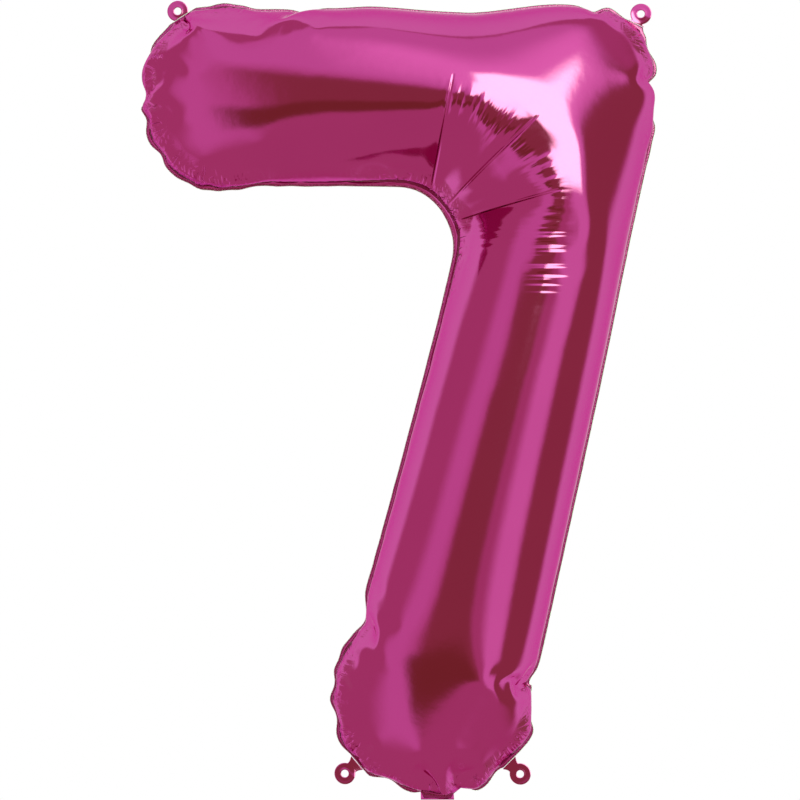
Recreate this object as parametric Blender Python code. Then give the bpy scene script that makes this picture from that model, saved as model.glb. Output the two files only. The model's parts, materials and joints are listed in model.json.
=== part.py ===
"""Foil number balloon: a figure seven of mirror foil, inflated and hung by the tabs at its corners.

Metres, +Z up, front facing -Y. The origin is midway between the holes of the two top tabs, in the plane of
the seam. Each half of the balloon is a thin shell: a dome with a flat flange round it.
"""

from math import cos, pi, radians, sin, sqrt

import bmesh
import bpy
import numpy as np
from mathutils import Matrix, Vector
from mathutils.geometry import delaunay_2d_cdt

# The figure, as the outer edge of its flange runs.
ARM_LEFT = -0.2847
ARM_RIGHT = 0.2657
ARM_TOP = 0.0055
ARM_BOTTOM = -0.1903
RIGHT_SIDE_END = -0.1292  # below this height the right side leans with the stem
NOTCH_X = 0.0548  # where the arm's lower edge would meet the stem's left edge
STEM_END = Vector((0.0256, -0.7456))  # centre of the stem's round end
STEM_END_RADIUS = 0.1035
FOOT_CORNER_RADIUS = 0.09936
STEM_LEAN = radians(13.3)
LEFT_CORNER_RADIUS = 0.078
RIGHT_CORNER_RADIUS = 0.075
RIGHT_SIDE_RADIUS = 0.216
NOTCH_RADIUS = 0.052
ARC_STEP = radians(15)
EDGE_STEP = 0.020

# The film and its heat seal.
FILM = 0.0004
FLANGE_WIDTH = 0.0045
SEAL_THICKNESS = 0.0007
PIECE_GAP = 0.0003
SEAL_SETBACK = 0.0006
RING_INSETS = (0.003, 0.011)  # rings of points just inside the seam, where the dome turns steep
DOME_STEP = 0.022

# The filling valve and the tail it is filled through, at the lowest point of the stem.
INLET_WIDTH = 0.030
VALVE_WIDTH = 0.026
VALVE_LENGTH = 0.130
VALVE_FILM = 0.0002
TAIL_WIDTH = 0.036
TAIL_LENGTH = 0.060
TAIL_FOLD = radians(102)  # how far the tail is folded back and up from hanging straight down
TAIL_CLEARANCE = 0.0012

# The hanging tabs: the place of each hole, and the way the tab points, counted from +X.
TABS = (
    ("hang_tab_arm_left", (-0.2505, 0.0015), radians(123)),
    ("hang_tab_arm_right", (0.2505, -0.0015), radians(64)),
    ("hang_tab_stem_left", (-0.0697, -0.8229), radians(221)),
    ("hang_tab_stem_right", (0.1198, -0.8232), radians(-45)),
)
TAB_LOBE_RADIUS = 0.0114
TAB_HOLE_RADIUS = 0.004
TAB_NECK_WIDTH = 0.013
TAB_ROOT_WIDTH = 0.021
TAB_THICKNESS = 0.0006
HINGE_OFFSET = 0.0005  # from the flange's edge to the line the tab bends on
HINGE_GAP = 0.0003  # from that line to the tab
CUT_REACH = 0.03  # how far a cutting tool runs on past the piece that it cuts
CUT_DEPTH = 0.01
ROUND_SIDES = 32


def material(name, colour, roughness, metallic):
    made = bpy.data.materials.new(name)
    made.use_nodes = True
    shader = made.node_tree.nodes["Principled BSDF"]
    shader.inputs["Base Color"].default_value = (*colour, 1)
    shader.inputs["Roughness"].default_value = roughness
    shader.inputs["Metallic"].default_value = metallic
    return made


def object_of(name, mesh, finish):
    """A new object at the origin holding this bmesh, in this material."""
    data = bpy.data.meshes.new(name)
    mesh.to_mesh(data)
    mesh.free()
    data.materials.append(finish)
    made = bpy.data.objects.new(name, data)
    bpy.context.scene.collection.objects.link(made)
    return made


def rounded(corners):
    """A closed outline through corners given as (x, z, radius), anticlockwise, with each corner an arc."""
    points = []
    for i, (x, z, radius) in enumerate(corners):
        corner = Vector((x, z))
        before = (Vector(corners[i - 1][:2]) - corner).normalized()
        after = (Vector(corners[(i + 1) % len(corners)][:2]) - corner).normalized()
        half = before.angle(after) / 2
        centre = corner + (before + after).normalized() * radius / sin(half)
        start = corner + before * radius / np.tan(half) - centre
        turn = (pi - 2 * half) * (1 if before.cross(after) < 0 else -1)
        steps = max(2, round(abs(turn) / ARC_STEP))
        points += [centre + Matrix.Rotation(turn * k / steps, 2) @ start for k in range(steps + 1)]
    return points


def with_long_sides_split(loop):
    points = []
    for a, b in zip(loop, loop[1:] + loop[:1]):
        steps = max(1, round((b - a).length / EDGE_STEP))
        points += [a.lerp(b, k / steps) for k in range(steps)]
    return points


def inset(loop, distance):
    """The same loop moved inwards, each point along the bisector of its two sides."""
    moved = []
    for i, point in enumerate(loop):
        before = (point - loop[i - 1]).normalized()
        after = (loop[(i + 1) % len(loop)] - point).normalized()
        inward = (before + after).normalized().orthogonal()
        moved.append(point + inward * distance / inward.dot(before.orthogonal()))
    return moved


def inside(point, loop):
    crossings = 0
    for a, b in zip(loop, loop[1:] + loop[:1]):
        if (a.y > point.y) != (b.y > point.y):
            crossings += point.x < a.x + (point.y - a.y) * (b.x - a.x) / (b.y - a.y)
    return crossings % 2 == 1


def seven_outline():
    across = Vector((cos(STEM_LEAN), -sin(STEM_LEAN)))
    down = Vector((-sin(STEM_LEAN), -cos(STEM_LEAN)))
    right_foot = STEM_END + (across + down) * STEM_END_RADIUS
    left_foot = STEM_END + (down - across) * STEM_END_RADIUS
    corners = (
        (ARM_LEFT, ARM_TOP, LEFT_CORNER_RADIUS),
        (ARM_LEFT, ARM_BOTTOM, LEFT_CORNER_RADIUS),
        (NOTCH_X, ARM_BOTTOM, NOTCH_RADIUS),
        (*left_foot, FOOT_CORNER_RADIUS),
        (*right_foot, FOOT_CORNER_RADIUS),
        (ARM_RIGHT, RIGHT_SIDE_END, RIGHT_SIDE_RADIUS),
        (ARM_RIGHT, ARM_TOP, RIGHT_CORNER_RADIUS),
    )
    return with_long_sides_split(rounded(corners))


def dome_points(seam):
    """Rings just inside the seam, then a grid of triangles over the rest of the figure."""
    points = [point for distance in RING_INSETS for point in inset(seam, distance)]
    fence = inset(seam, RING_INSETS[-1] + DOME_STEP / 2)
    row_height = DOME_STEP * sqrt(3) / 2
    rows = round((ARM_TOP - STEM_END.y + STEM_END_RADIUS) / row_height)
    columns = round((ARM_RIGHT - ARM_LEFT) / DOME_STEP)
    for row in range(rows):
        for column in range(columns):
            shift = DOME_STEP / 2 * (row % 2)
            point = Vector((ARM_LEFT + column * DOME_STEP + shift, ARM_TOP - row * row_height))
            if inside(point, fence):
                points.append(point)
    return points


def dome_heights(points, triangles, fixed_count):
    """How far each point stands off the seam plane: the section of a straight stretch is a half circle.

    A membrane under an even load sags by u, with a slope that falls evenly, and the root of 2u over a strip
    is exactly a circle. The first fixed_count points are held at zero.
    """
    count = len(points)
    stiffness = np.zeros((count, count))
    load = np.zeros(count)
    for corners in triangles:
        a, b, c = (points[i] for i in corners)
        area = abs((b - a).cross(c - a)) / 2
        sides = (c - b, a - c, b - a)
        for i, first in zip(corners, sides):
            load[i] += area / 3
            for j, second in zip(corners, sides):
                stiffness[i, j] += first.dot(second) / (4 * area)
    heights = np.zeros(count)
    free = slice(fixed_count, count)
    heights[free] = np.sqrt(2 * np.linalg.solve(stiffness[free, free], load[free]))
    return heights


def panel(name, outline, side, finish):
    """One half of the balloon. side is -1 for the front and 1 for the back."""
    seam = inset(outline, FLANGE_WIDTH)
    points = seam + dome_points(seam)
    loop = [(i, (i + 1) % len(seam)) for i in range(len(seam))]
    flat, _, triangles, _, _, _ = delaunay_2d_cdt(points, loop, [], 1, 1e-7)
    heights = dome_heights(flat, triangles, len(seam))
    inner_face = side * (SEAL_THICKNESS / 2 + PIECE_GAP)
    mesh = bmesh.new()
    dome = [mesh.verts.new((p.x, inner_face + side * h, p.y)) for p, h in zip(flat, heights)]
    for corners in triangles:
        mesh.faces.new([dome[i] for i in corners])
    edge = [mesh.verts.new((p.x, inner_face, p.y)) for p in outline]
    for i, j in loop:
        mesh.faces.new((dome[i], dome[j], edge[j], edge[i]))
    bmesh.ops.recalc_face_normals(mesh, faces=mesh.faces)
    if sum(face.normal.y * face.calc_area() for face in mesh.faces) * side < 0:
        bmesh.ops.reverse_faces(mesh, faces=mesh.faces)
    made = object_of(name, mesh, finish)
    made.data.shade_smooth()
    shell = made.modifiers.new("film", "SOLIDIFY")
    shell.thickness = FILM
    shell.offset = 1
    shell.use_even_offset = True
    return made


def seal(outline, inlet, finish):
    """The fused strip between the flanges, left open where the valve comes in."""
    outer = inset(outline, SEAL_SETBACK)
    inner = inset(outline, FLANGE_WIDTH - SEAL_SETBACK)
    start = max(range(len(outer)), key=lambda i: (outer[i] - inlet).length < INLET_WIDTH / 2)
    order = [(start + k) % len(outer) for k in range(len(outer))]
    kept = [i for i in order if (outer[i] - inlet).length > INLET_WIDTH / 2]
    mesh = bmesh.new()
    rows = []
    for i in kept:
        ends = []
        for y in (-SEAL_THICKNESS / 2, SEAL_THICKNESS / 2):
            ends += [mesh.verts.new((p.x, y, p.y)) for p in (outer[i], inner[i])]
        rows.append((ends[0], ends[1], ends[3], ends[2]))
    for first, second in zip(rows, rows[1:]):
        for k in range(4):
            mesh.faces.new((first[k], first[k - 1], second[k - 1], second[k]))
    mesh.faces.new(rows[0])
    mesh.faces.new(reversed(rows[-1]))
    bmesh.ops.recalc_face_normals(mesh, faces=mesh.faces)
    return object_of("seam_seal", mesh, finish)


def strip(name, low, high, finish):
    """A plain rectangular film between two corners."""
    mesh = bmesh.new()
    bmesh.ops.create_cube(mesh, size=1)
    bmesh.ops.scale(mesh, verts=mesh.verts, vec=Vector(high) - Vector(low))
    bmesh.ops.translate(mesh, verts=mesh.verts, vec=(Vector(high) + Vector(low)) / 2)
    return object_of(name, mesh, finish)


def hinge(name, place):
    made = bpy.data.objects.new(name, None)
    made.empty_display_size = 0.01
    made.location = place
    bpy.context.scene.collection.objects.link(made)
    return made


def tail(outline, finish):
    """The two plies of the filling tail, folded back behind the stem from its lowest point."""
    lowest = min(outline, key=lambda p: p.y)
    fold = hinge("tail_fold", (lowest.x, 0, lowest.y - TAIL_CLEARANCE))
    fold.rotation_euler.x = TAIL_FOLD
    for name, side in (("tail_front_ply", -1), ("tail_back_ply", 1)):
        near = side * PIECE_GAP / 2
        far = side * (PIECE_GAP / 2 + FILM)
        ply = strip(
            name,
            (-TAIL_WIDTH / 2, min(near, far), -TAIL_LENGTH - HINGE_GAP),
            (TAIL_WIDTH / 2, max(near, far), -HINGE_GAP),
            finish,
        )
        ply.parent = fold


def disc(name, radius, depth):
    mesh = bmesh.new()
    bmesh.ops.create_cone(
        mesh, cap_ends=True, segments=ROUND_SIDES, radius1=radius, radius2=radius, depth=depth
    )
    return object_of(name, mesh, None)


def combine(base, other, operation):
    modifier = base.modifiers.new(operation.lower(), "BOOLEAN")
    modifier.operation = operation
    modifier.object = other
    other.hide_render = True
    other.display_type = "WIRE"
    other.parent = base


def tab(name, hole, bearing, outline, finish):
    """A round lobe on a flared neck, with a punched hole. Its own X points outwards, its Z through the film."""
    outward = Vector((cos(bearing), sin(bearing)))
    edge = max(p.dot(outward) for p in outline)
    root = outward * (edge + HINGE_OFFSET) + hole - outward * outward.dot(hole)
    reach = (hole - root).length
    bend = hinge(name + "_bend", (root.x, 0, root.y))
    bend.rotation_euler = (pi / 2, -bearing, 0)

    mesh = bmesh.new()
    widths = ((HINGE_GAP, TAB_ROOT_WIDTH), (reach, TAB_NECK_WIDTH))
    corners = [(x, y * width / 2) for x, width in widths for y in (-1, 1)]
    corners = [corners[0], corners[2], corners[3], corners[1]]
    base = mesh.faces.new([mesh.verts.new((x, y, -TAB_THICKNESS / 2)) for x, y in corners])
    raised = bmesh.ops.extrude_face_region(mesh, geom=[base])["geom"]
    moved = [part for part in raised if isinstance(part, bmesh.types.BMVert)]
    bmesh.ops.translate(mesh, verts=moved, vec=(0, 0, TAB_THICKNESS))
    bmesh.ops.recalc_face_normals(mesh, faces=mesh.faces)
    made = object_of(name, mesh, finish)
    made.parent = bend

    lobe = disc(name + "_lobe", TAB_LOBE_RADIUS, TAB_THICKNESS)
    beyond = strip(
        name + "_beyond",
        (-CUT_REACH, -CUT_REACH, -CUT_DEPTH),
        (HINGE_GAP, CUT_REACH, CUT_DEPTH),
        None,
    )
    punch = disc(name + "_punch", TAB_HOLE_RADIUS, CUT_DEPTH)
    lobe.location.x = punch.location.x = reach
    combine(made, lobe, "UNION")
    combine(made, beyond, "DIFFERENCE")
    combine(made, punch, "DIFFERENCE")


for old in list(bpy.data.objects):
    bpy.data.objects.remove(old)

foil = material("magenta_foil", (0.565, 0.08, 0.314), 0.08, 1.0)
sealant = material("clear_sealant", (0.80, 0.74, 0.78), 0.40, 0.0)
valve_plastic = material("valve_film", (0.85, 0.86, 0.88), 0.35, 0.0)

figure = seven_outline()
bottom = min(figure, key=lambda p: p.y)
panel("front_panel", figure, -1, foil)
panel("back_panel", figure, 1, foil)
seal(figure, bottom, sealant)
for side_name, facing in (("front", -1), ("back", 1)):
    near_face = facing * PIECE_GAP / 2
    far_face = facing * (PIECE_GAP / 2 + VALVE_FILM)
    strip(
        "valve_film_" + side_name,
        (bottom.x - VALVE_WIDTH / 2, min(near_face, far_face), bottom.y + SEAL_SETBACK),
        (bottom.x + VALVE_WIDTH / 2, max(near_face, far_face), bottom.y + VALVE_LENGTH),
        valve_plastic,
    )
tail(figure, foil)
for tab_name, hole_place, tab_bearing in TABS:
    tab(tab_name, Vector(hole_place), tab_bearing, figure, foil)
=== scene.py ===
"""A foil number balloon: the figure seven in mirror foil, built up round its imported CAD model."""

import json
from math import atan2, cos, degrees, pi, radians, sin, tan

import bmesh
import bpy
import numpy as np
from mathutils import Matrix, Vector
from mathutils.geometry import delaunay_2d_cdt
from mathutils.kdtree import KDTree


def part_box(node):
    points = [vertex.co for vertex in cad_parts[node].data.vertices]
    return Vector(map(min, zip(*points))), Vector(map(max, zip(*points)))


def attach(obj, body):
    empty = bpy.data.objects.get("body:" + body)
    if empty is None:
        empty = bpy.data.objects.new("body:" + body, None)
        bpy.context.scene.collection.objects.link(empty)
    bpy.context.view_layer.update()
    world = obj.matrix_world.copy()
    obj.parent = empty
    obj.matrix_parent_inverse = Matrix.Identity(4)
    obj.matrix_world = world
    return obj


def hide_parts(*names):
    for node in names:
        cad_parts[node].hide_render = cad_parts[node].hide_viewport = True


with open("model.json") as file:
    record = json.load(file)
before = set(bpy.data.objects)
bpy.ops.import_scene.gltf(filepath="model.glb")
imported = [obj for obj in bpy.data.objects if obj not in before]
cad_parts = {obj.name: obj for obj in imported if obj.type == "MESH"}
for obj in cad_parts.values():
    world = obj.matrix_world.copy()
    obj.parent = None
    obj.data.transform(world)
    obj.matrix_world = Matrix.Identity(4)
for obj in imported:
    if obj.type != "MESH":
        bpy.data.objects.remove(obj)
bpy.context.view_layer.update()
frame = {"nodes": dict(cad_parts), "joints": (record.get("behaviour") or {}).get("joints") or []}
bpy.ops.object.select_all(action="DESELECT")


# Camera. The balloon hangs upright and is seen square on, from far enough away that its two ends look
# alike. The view is centred on the figure's height, a little left of the line that it hangs on.
VIEW_CENTRE = Vector((-0.0101, 0, -0.4190))
VIEW_WIDTH = 0.8651
LENS = 100
SENSOR = 36

bpy.ops.object.camera_add(
    location=VIEW_CENTRE - Vector((0, VIEW_WIDTH * LENS / SENSOR, 0)), rotation=(pi / 2, 0, 0)
)
camera = bpy.context.object
camera.data.lens = LENS
camera.data.sensor_width = SENSOR
bpy.context.scene.camera = camera
bpy.context.scene.view_settings.view_transform = "Standard"


# Studio. A white room with a pale floor: white walls behind and beside, a dim patch round the camera,
# a dark screen on the right, a pale ceiling and one soft box over the camera's right shoulder. Mirror
# foil shows all of it, so the room is drawn on the world by direction.
WHITE = (1.0, 1.0, 1.0, 1)
FLOOR_SIZE = 3.2
FLOOR_HEIGHT = -1.30


class Shade:
    """One output of a shader tree. Sums, products and comparisons of it add Math nodes to the tree."""

    def __init__(self, tree, socket=None):
        self.tree = tree
        self.socket = socket

    def node(self, kind, sockets, output=0, stops=None, **settings):
        """Any node: its settings and ramp stops are set first, then its sockets, by name or number."""
        made = self.tree.nodes.new(kind)
        for name, value in settings.items():
            setattr(made, name, value)
        if stops:
            while len(made.color_ramp.elements) < len(stops):
                made.color_ramp.elements.new(0.5)
            for element, (place, colour) in zip(made.color_ramp.elements, stops):
                element.position = place
                element.color = colour
        for key, value in sockets.items():
            if isinstance(value, Shade):
                self.tree.links.new(value.socket, made.inputs[key])
            else:
                made.inputs[key].default_value = value
        return Shade(self.tree, made.outputs[output] if made.outputs else None)

    def math(self, operation, *values):
        return self.node("ShaderNodeMath", dict(enumerate(values)), operation=operation)

    def __add__(self, other):
        return self.math("ADD", self, other)

    def __sub__(self, other):
        return self.math("SUBTRACT", self, other)

    def __rsub__(self, other):
        return self.math("SUBTRACT", other, self)

    def __mul__(self, other):
        return self.math("MULTIPLY", self, other)

    __radd__ = __add__
    __rmul__ = __mul__

    def step(self, low, high):
        """0 below low and 1 above high, eased between them."""
        sockets = {"Value": self, "From Min": low, "From Max": high}
        return self.node("ShaderNodeMapRange", sockets, interpolation_type="SMOOTHSTEP")

    def band(self, low, high, soft):
        """1 between low and high, falling to 0 over soft on each side."""
        return self.step(low - soft, low + soft) * (1 - self.step(high - soft, high + soft))

    def blend(self, share, other):
        """A colour that turns from this one into the other one as share goes from 0 to 1."""
        sockets = {"Factor": share, "A": self, "B": other}
        return self.mix(sockets)

    def mix(self, sockets):
        made = self.tree.nodes.new("ShaderNodeMix")
        made.data_type = "RGBA"
        places = {"Factor": 0, "A": 6, "B": 7}
        for key, value in sockets.items():
            if isinstance(value, Shade):
                self.tree.links.new(value.socket, made.inputs[places[key]])
            else:
                made.inputs[places[key]].default_value = value
        return Shade(self.tree, made.outputs[2])


room = bpy.data.worlds.new("studio")
room.use_nodes = True
room.node_tree.nodes.clear()
bpy.context.scene.world = room
studio = Shade(room.node_tree)
direction = studio.node("ShaderNodeTexCoord", {}, output="Generated")
split = direction.node("ShaderNodeSeparateXYZ", {"Vector": direction})
east = split
north = Shade(split.tree, split.socket.node.outputs["Y"])
height = Shade(split.tree, split.socket.node.outputs["Z"])
turn = east.math("ARCTAN2", east, 0 - north) * degrees(1)
rise = height.math("ARCSINE", height) * degrees(1)
PAINT = (
    # (turn from, to, soft, rise from, to, soft, colour), later over earlier
    (-104, 104, 6, -90, 90, 1, (0.60, 0.33, 0.38, 1)),
    (-56, -30, 9, -100, 60, 8, (0.84, 0.60, 0.74, 1)),
    (-36, 62, 8, 12, 110, 8, (0.88, 0.68, 0.82, 1)),
    (26, 56, 8, -40, 60, 8, (0.98, 0.82, 0.92, 1)),
    (58, 100, 4, -60, 40, 5, (0.40, 0.22, 0.15, 1)),
    (-180, 180, 1, -100, -42, 8, (0.60, 0.33, 0.38, 1)),
    (-27, 10, 4, -30, 9, 4, (0.37, 0.21, 0.13, 1)),
    (-34, 4, 4, -30, -17, 2.5, (0.27, 0.15, 0.06, 1)),
    (-12, 54, 6, 20, 62, 12, (1.25, 1.15, 1.25, 1)),
    (1, 48, 2.5, 5, 44, 4, (3.2, 7.5, 3.4, 1)),
)
walls = studio.node("ShaderNodeRGB", {})
walls.socket.default_value = WHITE
for turn_low, turn_high, turn_soft, rise_low, rise_high, rise_soft, colour in PAINT:
    patch = turn.band(turn_low, turn_high, turn_soft) * rise.band(rise_low, rise_high, rise_soft)
    walls = walls.blend(patch, colour)
seen = studio.node("ShaderNodeLightPath", {}, output="Is Camera Ray")
backdrop = walls.blend(seen, WHITE)
lit = studio.node("ShaderNodeBackground", {"Color": backdrop, "Strength": 1.0})
studio.node("ShaderNodeOutputWorld", {"Surface": lit})

bpy.ops.mesh.primitive_plane_add(size=FLOOR_SIZE, location=(VIEW_CENTRE.x, 0, FLOOR_HEIGHT))
floor = bpy.context.object
floor.name = "studio_floor"
bpy.ops.object.transform_apply(location=True)
floor.visible_glossy = False
paper = bpy.data.materials.new("studio_paper")
paper.use_nodes = True
paper.node_tree.nodes["Principled BSDF"].inputs["Base Color"].default_value = (0.86, 0.86, 0.86, 1)
paper.node_tree.nodes["Principled BSDF"].inputs["Roughness"].default_value = 0.9
floor.data.materials.append(paper)


# Film. Two sheets of metallised nylon are cut to a fat, flat seven, welded together round the edge and
# blown up tight. The film doesn't stretch, so the tubes turn round, the ends pucker and the inner
# corner folds into a fan of creases.
CUT = (
    (-0.2008, 0.2281, 0.1156),
    (0.3277, 0.0088, 0.0795),
    (0.3255, -0.1083, 0.1722),
    (0.1409, -0.8831, 0.1384),
    (-0.1393, -0.8164, 0.1384),
    (0.0129, -0.1778, 0.0677),
    (-0.3122, -0.0183, 0.1156),
)
WELD_PITCH = 0.016
GAS_PRESSURE = 50
OPENED = 0.003
PLACE_TURN = 0.09853
PLACE_SHIFT = (-0.00033, -0.04941)
FILM_THICKNESS = 0.00012
FILM_SETBACK = 0.00038
WELD_WIDTH = 0.0026


def cut_line(corners, pitch):
    """The cut as points one pitch apart, each corner rounded to its radius."""
    points = []
    for (x, z, radius), before, after in zip(corners, corners[-1:] + corners[:-1], corners[1:] + corners[:1]):
        corner = Vector((x, z))
        back = (Vector(before[:2]) - corner).normalized()
        on = (Vector(after[:2]) - corner).normalized()
        half = back.angle(on) / 2
        centre = corner + (back + on).normalized() * radius / sin(half)
        start = corner + back * radius / tan(half) - centre
        sweep = (pi - 2 * half) * (1 if back.cross(on) < 0 else -1)
        steps = max(2, int(abs(sweep) * radius / pitch))
        points += [centre + Matrix.Rotation(sweep * k / steps, 2) @ start for k in range(steps + 1)]
    loop = np.array(points + points[:1])
    along = np.concatenate([[0], np.cumsum(np.linalg.norm(np.diff(loop, axis=0), axis=1))])
    at = np.linspace(0, along[-1], int(along[-1] / pitch), endpoint=False)
    return np.stack([np.interp(at, along, loop[:, k]) for k in (0, 1)], axis=1)


def triangle_grid(outline, pitch):
    """Points of an even triangular grid inside the outline, clear of its edge."""
    low, high = outline.min(axis=0), outline.max(axis=0)
    rows = np.arange(low[1], high[1], pitch * 3**0.5 / 2)
    grid = np.concatenate(
        [
            np.stack([np.arange(low[0] + pitch / 2 * (k % 2), high[0], pitch), 0 * np.arange(low[0] + pitch / 2 * (k % 2), high[0], pitch) + z], axis=1)
            for k, z in enumerate(rows)
        ]
    )
    inside = np.zeros(len(grid), bool)
    for a, b in zip(outline, np.roll(outline, -1, axis=0)):
        if a[1] != b[1]:
            crossing = (a[1] > grid[:, 1]) != (b[1] > grid[:, 1])
            inside ^= crossing & (grid[:, 0] < a[0] + (b[0] - a[0]) * (grid[:, 1] - a[1]) / (b[1] - a[1]))
    tree = KDTree(len(outline))
    for i, (x, z) in enumerate(outline):
        tree.insert((x, z, 0), i)
    tree.balance()
    clear = np.array([tree.find((x, z, 0))[2] > 0.72 * pitch for x, z in grid])
    return grid[inside & clear]


def inflated(envelope, frames, flat, **stiffness):
    """Blows the envelope up for some frames and keeps the shape. With flat given, every length on it
    is the length on that flat cut, whatever shape the envelope starts from."""
    cloth = envelope.modifiers.new("Inflation", "CLOTH")
    settings = cloth.settings
    settings.quality = 8
    settings.mass = 0.001
    settings.tension_stiffness = 15
    settings.compression_stiffness = 15
    settings.shear_stiffness = 5
    settings.tension_damping = settings.compression_damping = settings.shear_damping = 5
    settings.bending_damping = 0.5
    settings.use_pressure = True
    settings.uniform_pressure_force = GAS_PRESSURE
    settings.effector_weights.gravity = 0
    for name, value in stiffness.items():
        setattr(settings, name, value)
    cloth.collision_settings.use_collision = False
    cloth.point_cache.frame_start = 1
    cloth.point_cache.frame_end = frames + 1
    settings.use_dynamic_mesh = flat is not None
    bpy.context.scene.frame_set(1)
    if flat is not None:
        envelope.data.vertices.foreach_set("co", flat.ravel())
        envelope.data.update()
    for step in range(2, frames + 1):
        bpy.context.scene.frame_set(step)
    shown = envelope.evaluated_get(bpy.context.evaluated_depsgraph_get())
    blown = np.empty(len(shown.data.vertices) * 3, np.float32)
    shown.data.vertices.foreach_get("co", blown)
    envelope.modifiers.remove(cloth)
    bpy.context.scene.frame_set(1)
    envelope.data.vertices.foreach_set("co", blown)
    envelope.data.update()


def vectors(mesh, name):
    """A vector attribute of the mesh's points as an array."""
    read = np.empty(len(mesh.vertices) * 3, np.float32)
    mesh.attributes[name].data.foreach_get("vector", read)
    return read.reshape(-1, 3)


def places(mesh):
    read = np.empty(len(mesh.vertices) * 3, np.float32)
    mesh.vertices.foreach_get("co", read)
    return read.reshape(-1, 3)


weld_line = cut_line(CUT, WELD_PITCH)
weld_count = len(weld_line)
sheet_points = [Vector(p) for p in np.concatenate([weld_line, triangle_grid(weld_line, WELD_PITCH)])]
sheet, _, cells, *_ = delaunay_2d_cdt(sheet_points, [], [list(range(weld_count))], 1, 1e-6)
sheet_count = len(sheet)
cells = [c if (sheet[c[1]] - sheet[c[0]]).cross(sheet[c[2]] - sheet[c[0]]) > 0 else c[::-1] for c in cells]
front_points = [(p.x, 0 if i < weld_count else -OPENED, p.y) for i, p in enumerate(sheet)]
back_points = [(p.x, OPENED, p.y) for p in sheet[weld_count:]]
back_of = [i if i < weld_count else i - weld_count + sheet_count for i in range(sheet_count)]
cut_mesh = bpy.data.meshes.new("envelope")
cut_mesh.from_pydata(
    front_points + back_points, [], cells + [[back_of[i] for i in reversed(c)] for c in cells]
)
envelope = bpy.data.objects.new("envelope", cut_mesh)
bpy.context.scene.collection.objects.link(envelope)
bpy.ops.object.select_all(action="DESELECT")
bpy.context.view_layer.objects.active = envelope
envelope.select_set(True)
flat_cut = cut_mesh.attributes.new("flat", "FLOAT_VECTOR", "POINT")
flat_cut.data.foreach_set("vector", (places(cut_mesh) * (1, 0, 1)).astype(np.float32).ravel())
backs = np.repeat([0, 1], len(cells)).astype(np.int32)
cut_mesh.polygons.foreach_set("material_index", backs)
for side in ("front", "back"):
    cut_mesh.materials.append(bpy.data.materials.new("uncut_" + side))

# (frames, how hard the film resists being pushed together, how hard it resists bending)
BLOWS = ((60, 15, 0.5), (16, 15, 0.5))
for number, (frames, pushed, bent) in enumerate(BLOWS):
    if number:
        bpy.ops.object.mode_set(mode="EDIT")
        bpy.ops.mesh.select_all(action="SELECT")
        bpy.ops.mesh.subdivide(number_cuts=1)
        bpy.ops.object.mode_set(mode="OBJECT")
    cut_sizes = vectors(envelope.data, "flat") if number else None
    inflated(envelope, frames, cut_sizes, compression_stiffness=pushed, bending_stiffness=bent)

# (x, z, then how far right and how far up the film sits from there, and how wide the effect is)
SET = (
    (-0.180, 0.015, 0.0000, -0.0250, 0.055),
    (-0.262, -0.020, 0.0110, 0.0000, 0.018),
    (-0.278, -0.072, -0.0180, 0.0000, 0.027),
    (0.170, -0.008, 0.0000, 0.0170, 0.075),
    (0.262, -0.088, 0.0100, 0.0000, 0.025),
    (0.070, -0.840, 0.0000, -0.0060, 0.030),
    (-0.222, 0.014, 0.0000, -0.0090, 0.028),
    (-0.085, 0.008, 0.0000, -0.0060, 0.035),
)

# The balloon is turned and shifted to hang true, and its rim is drawn to the filling neck and the tabs.
NECK = Vector((0.0304, 0, -0.8507))
NECK_WIDTH = 0.034
HINGE_GAP = 0.0003
NECK_GAP = 0.0013
NECK_LEAN = 0.25  # how steeply the film rises from the neck, so that the tail folds clear of it
PIN_REACH = 0.030
TAB_ROOT_WIDTH = 0.021
RIM_EASINGS = 5
joints = {joint["name"]: joint for joint in frame["joints"]}
tab_joints = [joint for name, joint in joints.items() if name.endswith("_tab_bend")]
rim_ties = [(NECK, Vector((0, 0, -1)), NECK_WIDTH, NECK_GAP, NECK_LEAN)]
for joint in tab_joints:
    axis = Vector(joint["axis"])
    rim_ties.append((Vector(joint["pos_m"]), Vector((axis.z, 0, -axis.x)), TAB_ROOT_WIDTH, HINGE_GAP, 0))

film = places(envelope.data)
film = (film - VIEW_CENTRE) @ np.array(Matrix.Rotation(-PLACE_TURN, 3, "Y")).T + VIEW_CENTRE
film += (PLACE_SHIFT[0], 0, PLACE_SHIFT[1])
for x, z, right, up, reach in SET:
    share = np.exp(-((film[:, 0] - x) ** 2 + (film[:, 2] - z) ** 2) / reach**2)
    film[:, 0] += right * share
    film[:, 2] += up * share
envelope.data.vertices.foreach_set("co", film.astype(np.float32).ravel())
envelope.data.update()
bpy.ops.object.mode_set(mode="EDIT")
bpy.ops.mesh.select_all(action="SELECT")
bpy.ops.mesh.subdivide(number_cuts=1)
bpy.ops.object.mode_set(mode="OBJECT")
film = places(envelope.data).astype(float)

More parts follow.
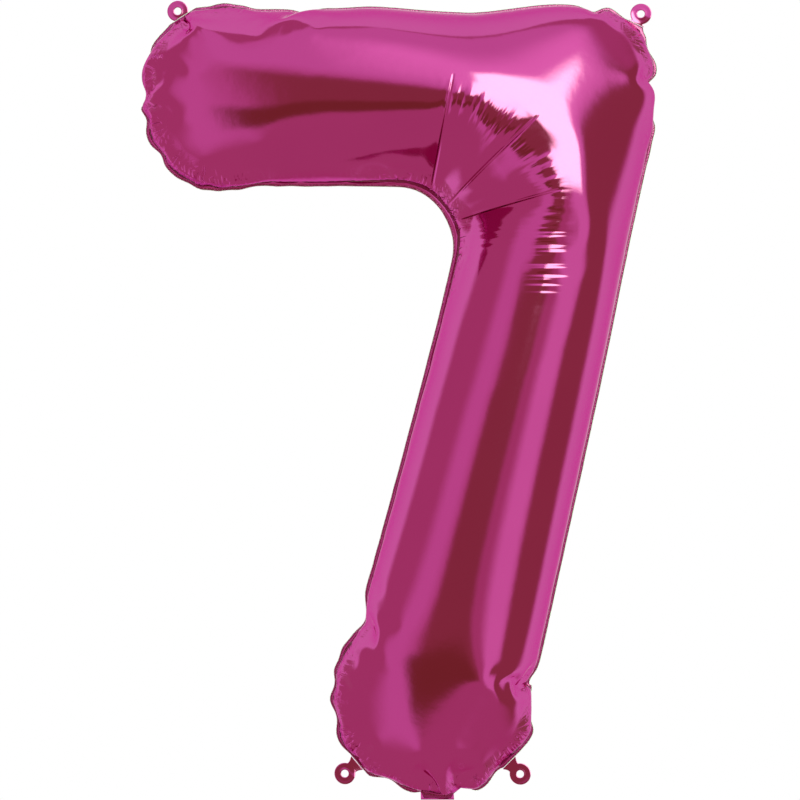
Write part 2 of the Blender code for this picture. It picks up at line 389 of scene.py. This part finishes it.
side_of = np.array([polygon.material_index for polygon in envelope.data.polygons])
corners_of = np.array([polygon.vertices[:] for polygon in envelope.data.polygons])
on_front = np.zeros(len(film), bool)
on_back = np.zeros(len(film), bool)
on_front[corners_of[side_of == 0]] = True
on_back[corners_of[side_of == 1]] = True
on_weld = on_front & on_back
front_edges = np.sort(corners_of[side_of == 0][:, [0, 1, 1, 2, 2, 0]].reshape(-1, 2), axis=1)
single, counts = np.unique(front_edges, axis=0, return_counts=True)
next_to = {}
for a, b in single[counts == 1]:
    next_to.setdefault(a, []).append(b)
    next_to.setdefault(b, []).append(a)
weld = [min(next_to)]
while len(weld) < len(next_to):
    onward = [i for i in next_to[weld[-1]] if len(weld) < 2 or i != weld[-2]]
    weld.append(onward[0])

for turn_over in range(RIM_EASINGS):
    film[weld] = film[weld] / 2 + (film[np.roll(weld, 1)] + film[np.roll(weld, -1)]) / 4

for hinge, outward, width, gap, lean in rim_ties:
    target = np.array(hinge - outward * (WELD_WIDTH + gap))
    nearest = weld[np.argmin(np.linalg.norm(film[weld] - target, axis=1))]
    share = np.exp(-(((film - target) ** 2)[:, [0, 2]].sum(axis=1)) / PIN_REACH**2)
    film += share[:, None] * (target - film[nearest])

# The blown film is eased a little all over, and more where it crumples at the inner corner. There it is
# folded along three long creases that fan out from the notch.
FAN_CENTRE = np.array((0.0159, -0.2330))
FAN_REACH = 0.190
EASINGS = 40
CREASES = (
    # (bearing, from and to what distance, depth, half width at the far end)
    (79, 0.045, 0.150, 0.0014, 0.0100),
    (43, 0.035, 0.155, 0.0020, 0.0110),
    (13, 0.040, 0.140, 0.0014, 0.0100),
)
links = np.array([edge.vertices[:] for edge in envelope.data.edges])
joined = np.bincount(links.ravel(), minlength=len(film))
away = film[:, [0, 2]] - FAN_CENTRE
distance = np.hypot(away[:, 0], away[:, 1])
bearing = np.degrees(np.arctan2(away[:, 1], away[:, 0]))
crumpled = np.clip((FAN_REACH - distance) / 0.045, 0, 1)
loose = np.ones(len(film))
loose[weld] = 0
for easing in range(EASINGS):
    amount = (0.5 if easing < 4 else 0.5 * crumpled) * loose
    middle = np.stack(
        [np.bincount(links.ravel(), film[links[:, ::-1].ravel(), k], len(film)) for k in range(3)], axis=1
    ) / joined[:, None]
    film += np.reshape(amount, (-1, 1)) * (middle - film)
outside = np.where(film[:, 1] < 0, -1.0, 1.0)
for lean, near_end, far_end, depth, half_width in CREASES:
    across = np.radians(bearing - lean) * distance
    width = half_width * (0.35 + 0.65 * distance / far_end)
    along_crease = np.clip((distance - near_end) / 0.02, 0, 1) * np.clip((far_end - distance) / 0.03, 0, 1)
    fold = np.exp(-np.abs(across) / width) - 0.45 * np.exp(-((np.abs(across) - 1.6 * width) / width) ** 2)
    film[:, 1] -= outside * depth * fold * along_crease * (np.abs(bearing - lean) < 60)

# Beside the neck and each tab the film stays behind the line that they bend on.
CLEAR_BESIDE = 0.014
CLEAR_FADE = 0.020
for hinge, outward, width, gap, lean in rim_ties:
    off = film - np.array(hinge)
    out = np.array(outward)
    across = np.abs(off @ np.array((out[2], 0, -out[0])))
    beyond = np.maximum(off @ out + WELD_WIDTH + gap + lean * np.abs(film[:, 1]), 0)
    beyond *= np.clip((width / 2 - TAB_ROOT_WIDTH / 2 + CLEAR_BESIDE + CLEAR_FADE - across) / CLEAR_FADE, 0, 1)
    film -= np.outer(beyond * (np.linalg.norm(off, axis=1) < 0.075), out)

# The weld is a flat flange outside the blown part: its direction follows the rim, eased over a few puckers.
EASE = 3
rim = film[weld]
spans = range(-3 * EASE, 3 * EASE + 1)
weights = [np.exp(-0.5 * (k / EASE) ** 2) for k in spans]
eased = sum(w * np.roll(rim, k, axis=0) for k, w in zip(spans, weights)) / sum(weights)
along = np.roll(eased, -1, axis=0) - np.roll(eased, 1, axis=0)
outwards = np.stack([along[:, 2], 0 * along[:, 0], -along[:, 0]], axis=1)
outwards /= np.linalg.norm(outwards, axis=1)[:, None]
turned = np.sum(eased[:, 0] * np.roll(eased[:, 2], -1) - eased[:, 2] * np.roll(eased[:, 0], -1))
if turned < 0:
    outwards = -outwards
edge = rim + outwards * WELD_WIDTH
edge[:, 1] = eased[:, 1]
for hinge, outward, width, gap, lean in rim_ties:
    off = edge - np.array(hinge)
    out = np.array(outward)
    across = np.abs(off @ np.array((out[2], 0, -out[0])))
    near = (across < width / 2) & (np.linalg.norm(off, axis=1) < width)
    edge[near] -= np.outer(off[near] @ out + gap, out)
    edge[near, 1] = 0
flange = np.zeros((len(film), 3), np.float32)
flange[weld] = edge - rim
envelope.data.vertices.foreach_set("co", film.ravel())
envelope.data.update()
envelope.data.attributes.new("flange", "FLOAT_VECTOR", "POINT").data.foreach_set("vector", flange.ravel())
envelope.data.attributes.new("rim", "FLOAT", "POINT")

# Fine pleats run in from the rim wherever it turns a corner. Where each point lies along the rim, how far
# in from it, and how sharply the rim turns there are kept on the mesh for the foil's relief to follow.
rim_tree = KDTree(len(weld))
for i, place in enumerate(rim):
    rim_tree.insert(place, i)
rim_tree.balance()
found = [rim_tree.find(place) for place in film]
rim_step = np.linalg.norm(np.roll(eased, -1, axis=0) - eased, axis=1)
rim_run = np.concatenate([[0], np.cumsum(rim_step)[:-1]])
heading = np.unwrap(np.arctan2(along[:, 2], along[:, 0]))
turning = np.abs(np.roll(heading, -8) - np.roll(heading, 8))
turning = np.minimum(turning, np.abs(2 * pi - turning))
turning = sum(np.roll(turning, k) for k in range(-12, 13)) / 25
nearest = np.array([i for _, i, _ in found])
pleats = np.stack([rim_run[nearest], [d for _, _, d in found], np.clip(turning[nearest] / 0.5, 0, 1)], axis=1)
envelope.data.attributes.new("pleats", "FLOAT_VECTOR", "POINT").data.foreach_set(
    "vector", pleats.astype(np.float32).ravel()
)
bpy.ops.object.mode_set(mode="EDIT")
bpy.ops.mesh.select_all(action="SELECT")
bpy.ops.mesh.separate(type="MATERIAL")
bpy.ops.object.mode_set(mode="OBJECT")

FOIL_COLOUR = (0.565, 0.080, 0.314, 1)
foil = bpy.data.materials.new("magenta_foil")
foil.use_nodes = True
shader = foil.node_tree.nodes["Principled BSDF"]
coat = Shade(foil.node_tree)
spot = coat.node("ShaderNodeTexCoord", {}, output="Object")
welded = coat.node("ShaderNodeAttribute", {}, output="Fac", attribute_name="rim")
drift = spot.node("ShaderNodeTexNoise", {"Vector": spot, "Scale": 9.0, "Detail": 2.0})
grain = spot.node("ShaderNodeTexNoise", {"Vector": spot, "Scale": 900.0, "Detail": 2.0})
ripple = spot.node("ShaderNodeTexNoise", {"Vector": spot, "Scale": 55.0, "Detail": 3.0})
press = spot.node("ShaderNodeTexVoronoi", {"Vector": spot, "Scale": 700.0})
tone = coat.mix({"Factor": drift, "A": (0.545, 0.074, 0.300, 1), "B": (0.585, 0.086, 0.328, 1)})
# Painted shade: the foil's colour is darkened along the weld flange to draw the thin dark line that runs along the
# seam.
seam_shaded_tone = tone.blend(welded * 0.55, (0.22, 0.02, 0.10, 1))
gathered = coat.node("ShaderNodeAttribute", {}, output="Vector", attribute_name="pleats")
run = gathered.node("ShaderNodeSeparateXYZ", {"Vector": gathered}, output="X")
depth_in = Shade(run.tree, run.socket.node.outputs["Y"])
turned_in = Shade(run.tree, run.socket.node.outputs["Z"])
lines = run.node("ShaderNodeCombineXYZ", {"X": run * 190, "Y": depth_in * 12})
pucker = lines.node("ShaderNodeTexNoise", {"Vector": lines, "Scale": 1.0, "Detail": 2.0})
pucker_depth = turned_in * (1 - depth_in.step(0.014, 0.040)) * depth_in.step(0.004, 0.014)
centred = spot.node("ShaderNodeMapping", {"Vector": spot, "Location": (-FAN_CENTRE[0], 0.0, -FAN_CENTRE[1])})
fan_x = centred.node("ShaderNodeSeparateXYZ", {"Vector": centred}, output="X")
fan_z = Shade(fan_x.tree, fan_x.socket.node.outputs["Z"])
fan_turn = fan_z.math("ARCTAN2", fan_z, fan_x)
fan_out = (fan_x * fan_x + fan_z * fan_z).math("SQRT", fan_x * fan_x + fan_z * fan_z)
rays = fan_turn.node("ShaderNodeCombineXYZ", {"X": fan_turn * 17, "Y": fan_out * 4})
ray = rays.node("ShaderNodeTexNoise", {"Vector": rays, "Scale": 1.0, "Detail": 0.6})
ray_depth = fan_out.band(0.108, 0.142, 0.012) * fan_turn.band(0.22, 1.42, 0.08)
stacked = fan_z.node("ShaderNodeCombineXYZ", {"X": fan_x * 9, "Y": fan_z * 150})
stack = stacked.node("ShaderNodeTexNoise", {"Vector": stacked, "Scale": 1.0, "Detail": 0.8})
stack_depth = fan_x.band(0.112, 0.146, 0.012) * fan_z.band(-0.075, 0.030, 0.014)
stack_depth = stack_depth + fan_x.band(0.035, 0.130, 0.012) * fan_z.band(-0.024, -0.004, 0.008) * 0.5
valleys = 0
for lean, near_end, far_end, depth, half_width in CREASES:
    aside = (fan_turn - radians(lean)).math("ABSOLUTE", fan_turn - radians(lean)) * fan_out
    valleys = valleys + (1 - aside.step(0.0, 0.0022)) * fan_out.band(near_end, far_end, 0.008)
relief = ripple * 0.00010 + grain * 0.000005 + press * welded * 0.00015
relief = relief + pucker * pucker_depth * 0.0050 + ray * ray_depth * 0.0030 + stack * stack_depth * 0.0022
relief = relief - valleys * 0.0011
bumps = coat.node("ShaderNodeBump", {"Height": relief, "Strength": 1.0, "Distance": 1.0}, output="Normal")
foil.node_tree.links.new(seam_shaded_tone.socket, shader.inputs["Base Color"])
foil.node_tree.links.new((0.07 + grain * 0.05 + welded * 0.12).socket, shader.inputs["Roughness"])
foil.node_tree.links.new(bumps.socket, shader.inputs["Normal"])
shader.inputs["Metallic"].default_value = 1
shader.inputs["Specular Tint"].default_value = (0.80, 0.34, 0.58, 1)
shader.inputs["Coat Weight"].default_value = 0.15
shader.inputs["Coat Roughness"].default_value = 0.04

for sheet_object in list(bpy.context.selected_objects):
    heights = places(sheet_object.data)[:, 1]
    facing = "front" if heights.mean() < 0 else "back"
    sheet_object.name = facing + "_film"
    bpy.ops.object.select_all(action="DESELECT")
    sheet_object.select_set(True)
    bpy.context.view_layer.objects.active = sheet_object
    inner_count = len(sheet_object.data.vertices)
    bpy.ops.object.mode_set(mode="EDIT")
    bpy.ops.mesh.select_mode(type="EDGE")
    bpy.ops.mesh.select_all(action="DESELECT")
    bpy.ops.mesh.select_non_manifold(use_wire=False, use_multi_face=False, use_non_contiguous=False, use_verts=False)
    bpy.ops.mesh.extrude_edges_move()
    bpy.ops.mesh.extrude_edges_move()
    bpy.ops.object.mode_set(mode="OBJECT")
    mesh = sheet_object.data
    film = places(mesh)
    reach = vectors(mesh, "flange")
    added = len(film) - inner_count
    share = np.zeros(len(film))
    share[inner_count : inner_count + added // 2] = 0.5
    share[inner_count + added // 2 :] = 1
    film += reach * share[:, None]
    film[:, 1] += (-1 if facing == "front" else 1) * (FILM_SETBACK + FILM_THICKNESS)
    mesh.vertices.foreach_set("co", film.astype(np.float32).ravel())
    mesh.attributes["rim"].data.foreach_set("value", np.minimum(share * 2, 1).astype(np.float32))
    mesh.update()
    bpy.ops.object.mode_set(mode="EDIT")
    bpy.ops.mesh.select_all(action="SELECT")
    bpy.ops.mesh.quads_convert_to_tris()
    bpy.ops.mesh.normals_make_consistent(inside=False)
    bpy.ops.object.mode_set(mode="OBJECT")
    facing_out = np.sum([p.normal.y * p.area for p in mesh.polygons])
    if facing_out * (-1 if facing == "front" else 1) < 0:
        bpy.ops.object.mode_set(mode="EDIT")
        bpy.ops.mesh.select_all(action="SELECT")
        bpy.ops.mesh.flip_normals()
        bpy.ops.object.mode_set(mode="OBJECT")
    skin = sheet_object.modifiers.new("Film", "SOLIDIFY")
    skin.thickness = FILM_THICKNESS
    skin.offset = -1
    bpy.ops.object.modifier_apply(modifier="Film")
    bpy.ops.object.shade_smooth()
    mesh = sheet_object.data
    mesh.materials.clear()
    mesh.materials.append(foil)
    mesh.polygons.foreach_set("material_index", np.zeros(len(mesh.polygons), np.int32))
    for name in ("flat", "flange"):
        mesh.attributes.remove(mesh.attributes[name])
    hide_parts(facing + "_panel")
    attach(sheet_object, "envelope")


# Weld. The sheets are lined with a clear sealant that melts into one strip where they are pressed
# together, all round the rim but for the neck, where the valve comes in.
SEAL_THICKNESS = 0.0006
SEAL_INNER, SEAL_OUTER = 0.0008, 0.0030
order = np.arange(len(rim))
open_at = np.abs(rim[:, 0] - NECK.x) + np.abs(rim[:, 2] - NECK.z) < 0.030
start = int(np.flatnonzero(open_at & ~np.roll(open_at, -1))[0]) + 1
order = [i for i in np.roll(order, -start) if not open_at[i]]
seal_mesh = bmesh.new()
rows = []
for i in order:
    reach = edge[i] - rim[i]
    reach = reach / np.linalg.norm(reach)
    inner, outer = rim[i] + reach * SEAL_INNER, rim[i] + reach * SEAL_OUTER
    row = [(p[0], p[1] + y, p[2]) for y, pair in ((-SEAL_THICKNESS / 2, (outer, inner)), (SEAL_THICKNESS / 2, (inner, outer))) for p in pair]
    rows.append([seal_mesh.verts.new(p) for p in row])
for first, second in zip(rows, rows[1:]):
    for k in range(4):
        seal_mesh.faces.new((first[k], first[k - 1], second[k - 1], second[k]))
seal_mesh.faces.new(rows[0])
seal_mesh.faces.new(rows[-1][::-1])
bmesh.ops.recalc_face_normals(seal_mesh, faces=seal_mesh.faces)
seal_data = bpy.data.meshes.new("weld_seal")
seal_mesh.to_mesh(seal_data)
seal_mesh.free()
seal = bpy.data.objects.new("weld_seal", seal_data)
bpy.context.scene.collection.objects.link(seal)
sealant = bpy.data.materials.new("clear_sealant")
sealant.use_nodes = True
shader = sealant.node_tree.nodes["Principled BSDF"]
melt = Shade(sealant.node_tree)
spot = melt.node("ShaderNodeTexCoord", {}, output="Object")
cloud = melt.node("ShaderNodeTexNoise", {"Vector": spot, "Scale": 260.0, "Detail": 3.0})
sealant.node_tree.links.new(melt.mix({"Factor": cloud, "A": (0.62, 0.50, 0.57, 1), "B": (0.80, 0.72, 0.77, 1)}).socket, shader.inputs["Base Color"])
sealant.node_tree.links.new((0.3 + cloud * 0.2).socket, shader.inputs["Roughness"])
seal_data.materials.append(sealant)
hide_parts("seam_seal")
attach(seal, "envelope")


# Hanging tabs. Four round ears are cut in one piece with the film, each with a punched hole for a
# ribbon and a waist that flares into the weld, and each bends to and fro along the edge of the rim.
LOBE_RADIUS = 0.0114
HOLE_RADIUS = 0.0040
WAIST_WIDTH = 0.0130
TAB_FILM = 0.0003
LOBE_SIDES = 64
tab_holes = {
    # where the hole is, how much the ear curls forward and how much it is twisted
    "arm_left": ((-0.2505, 0.0015), -4.0, -0.04),
    "arm_right": ((0.2505, -0.0015), -1.5, -0.18),
    "stem_left": ((-0.0697, -0.8229), 0.0, 0.18),
    "stem_right": ((0.1198, -0.8232), 4.0, 0.0),
}
for corner_name, (hole, curl, twist) in tab_holes.items():
    joint = joints[corner_name + "_tab_bend"]
    axis = Vector(joint["axis"])
    outward = Vector((axis.z, 0, -axis.x))
    middle = Vector((hole[0], 0, hole[1]))
    reach = (middle - Vector(joint["pos_m"])).dot(outward)
    shape = bmesh.new()
    radii = (HOLE_RADIUS, HOLE_RADIUS + 0.0007, HOLE_RADIUS + 0.0016, 0.0085, LOBE_RADIUS - 0.0009, LOBE_RADIUS)
    lift = (0, 0.00022, 0, 0, 0.0001, 0)
    rings = []
    for radius, up in zip(radii, lift):
        rings.append([shape.verts.new((radius * cos(2 * pi * k / LOBE_SIDES), radius * sin(2 * pi * k / LOBE_SIDES), up)) for k in range(LOBE_SIDES)])
    for inner_ring, outer_ring in zip(rings, rings[1:]):
        for k in range(LOBE_SIDES):
            shape.faces.new((inner_ring[k - 1], outer_ring[k - 1], outer_ring[k], inner_ring[k]))
    half_waist = WAIST_WIDTH / 2
    waist = [k for k in range(LOBE_SIDES) if radii[-1] * cos(2 * pi * k / LOBE_SIDES) < 0 and abs(radii[-1] * sin(2 * pi * k / LOBE_SIDES)) < half_waist]
    previous = [rings[-1][k] for k in waist]
    root = -reach + HINGE_GAP
    for share in (0.25, 0.5, 0.75, 1):
        row = []
        for k in waist:
            lobe_x = radii[-1] * cos(2 * pi * k / LOBE_SIDES)
            lobe_y = radii[-1] * sin(2 * pi * k / LOBE_SIDES)
            flare = 1 + (TAB_ROOT_WIDTH / WAIST_WIDTH - 1) * share**2
            row.append(shape.verts.new((lobe_x + (min(root, lobe_x) - lobe_x) * share, lobe_y * flare, 0)))
        for a in range(len(waist) - 1):
            shape.faces.new((previous[a], previous[a + 1], row[a + 1], row[a]))
        previous = row
    cut = bmesh.ops.bisect_plane(shape, geom=shape.verts[:] + shape.edges[:] + shape.faces[:], plane_co=(root, 0, 0), plane_no=(-1, 0, 0), clear_outer=True, dist=1e-6)
    bmesh.ops.remove_doubles(shape, verts=shape.verts, dist=2e-6)
    for v in shape.verts:
        free = max(0, v.co.x - root)
        v.co.z += curl * free**2 + twist * v.co.y * min(1, free / 0.012)
    turn_to = Matrix((outward, axis, outward.cross(axis))).transposed().to_4x4()
    shape.transform(Matrix.Translation(middle) @ turn_to)
    bmesh.ops.recalc_face_normals(shape, faces=shape.faces)
    data = bpy.data.meshes.new(corner_name + "_tab")
    shape.to_mesh(data)
    shape.free()
    tab = bpy.data.objects.new(corner_name + "_ear", data)
    bpy.context.scene.collection.objects.link(tab)
    bpy.ops.object.select_all(action="DESELECT")
    tab.select_set(True)
    bpy.context.view_layer.objects.active = tab
    skin = tab.modifiers.new("Film", "SOLIDIFY")
    skin.thickness = TAB_FILM
    skin.offset = 0
    bpy.ops.object.modifier_apply(modifier="Film")
    smooth = tab.modifiers.new("Round", "SUBSURF")
    smooth.levels = smooth.render_levels = 1
    bpy.ops.object.modifier_apply(modifier="Round")
    bpy.ops.object.shade_smooth()
    tab.data.materials.append(foil)
    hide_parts("hang_tab_" + corner_name)
    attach(tab, corner_name + "_tab")


# Filling tail and valve. The sheets run on below the rim as a flat neck, folded back behind the stem
# once the balloon is full; a tube of two thin plastic films inside it shuts by itself under pressure.
for facing, side in (("front", -1), ("back", 1)):
    low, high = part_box("tail_" + facing + "_ply")
    node = frame["nodes"]["tail_" + facing + "_ply"]
    node.data.materials.clear()
    node.data.materials.append(foil)
valve_plastic = bpy.data.materials.new("valve_film")
valve_plastic.use_nodes = True
shader = valve_plastic.node_tree.nodes["Principled BSDF"]
shader.inputs["Roughness"].default_value = 0.3
sleeve = Shade(valve_plastic.node_tree)
spot = sleeve.node("ShaderNodeTexCoord", {}, output="Object")
haze = sleeve.node("ShaderNodeTexNoise", {"Vector": spot, "Scale": 120.0, "Detail": 2.0})
valve_plastic.node_tree.links.new(sleeve.mix({"Factor": haze, "A": (0.72, 0.74, 0.78, 1), "B": (0.88, 0.89, 0.91, 1)}).socket, shader.inputs["Base Color"])
for name in ("valve_film_front", "valve_film_back"):
    frame["nodes"][name].data.materials.clear()
    frame["nodes"][name].data.materials.append(valve_plastic)
